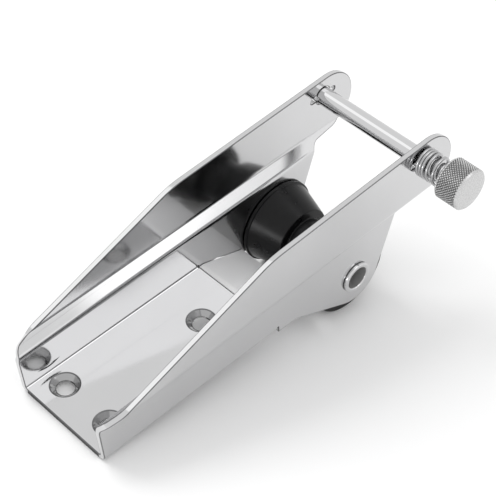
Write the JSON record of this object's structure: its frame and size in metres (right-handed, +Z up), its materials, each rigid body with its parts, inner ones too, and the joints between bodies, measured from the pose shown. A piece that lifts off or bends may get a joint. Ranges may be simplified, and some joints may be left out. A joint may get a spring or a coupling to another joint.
{
  "type": "bow roller",
  "caption": "Polished stainless channel bow roller with flared side arms, dark waisted roller on a hollow axle and a sprung retaining pin with a knurled knob",
  "frame": {"origin": "Middle of the underside of the base plate, on the deck plane and on the centre line", "axes": "+X forward over the bow, +Y to port, +Z up"},
  "size_m": [0.2258, 0.1042, 0.0914],
  "materials": {
    "stainless_sheet": "mirror-polished stainless sheet",
    "stainless_bar": "polished stainless bar",
    "knurled_steel": "diamond-knurled rim with a satin end",
    "spring_wire": "bright drawn stainless wire",
    "roller_rubber": "smooth black moulded rubber",
    "sleeve_plastic": "plain turned plastic"
  },
  "bodies": {
    "channel": {"channel_body": "stainless_sheet", "apron_plate": "stainless_sheet", "axle_tube": "stainless_bar", "axle_collar": "stainless_bar"},
    "roller_body": {"roller": "roller_rubber", "roller_sleeve": "sleeve_plastic"},
    "seat": {"spring_seat": "stainless_bar", "pin_spring": "spring_wire"},
    "pin": {"pin_rod": "stainless_bar", "cross_pin": "stainless_bar", "pin_knob": "knurled_steel", "knob_roll_pin": "stainless_bar"}
  },
  "joints": [
    {"name": "roller_spin", "type": "hinge", "parent": "channel", "child": "roller_body", "pos_m": [0.109, 0, -0.0017], "axis": [0, 1, 0], "continuous": true},
    {"name": "pin_push", "type": "slide", "parent": "channel", "child": "seat", "axis": [0, 1, 0], "range_m": [0, 0.004], "stiffness_N_per_m": 1500, "springref_m": -0.003, "deforming": ["pin_spring"]},
    {"name": "pin_turn", "type": "hinge", "parent": "seat", "child": "pin", "pos_m": [0.1484, 0, 0.0554], "axis": [0, 1, 0], "range_deg": [0, 90]}
  ]
}
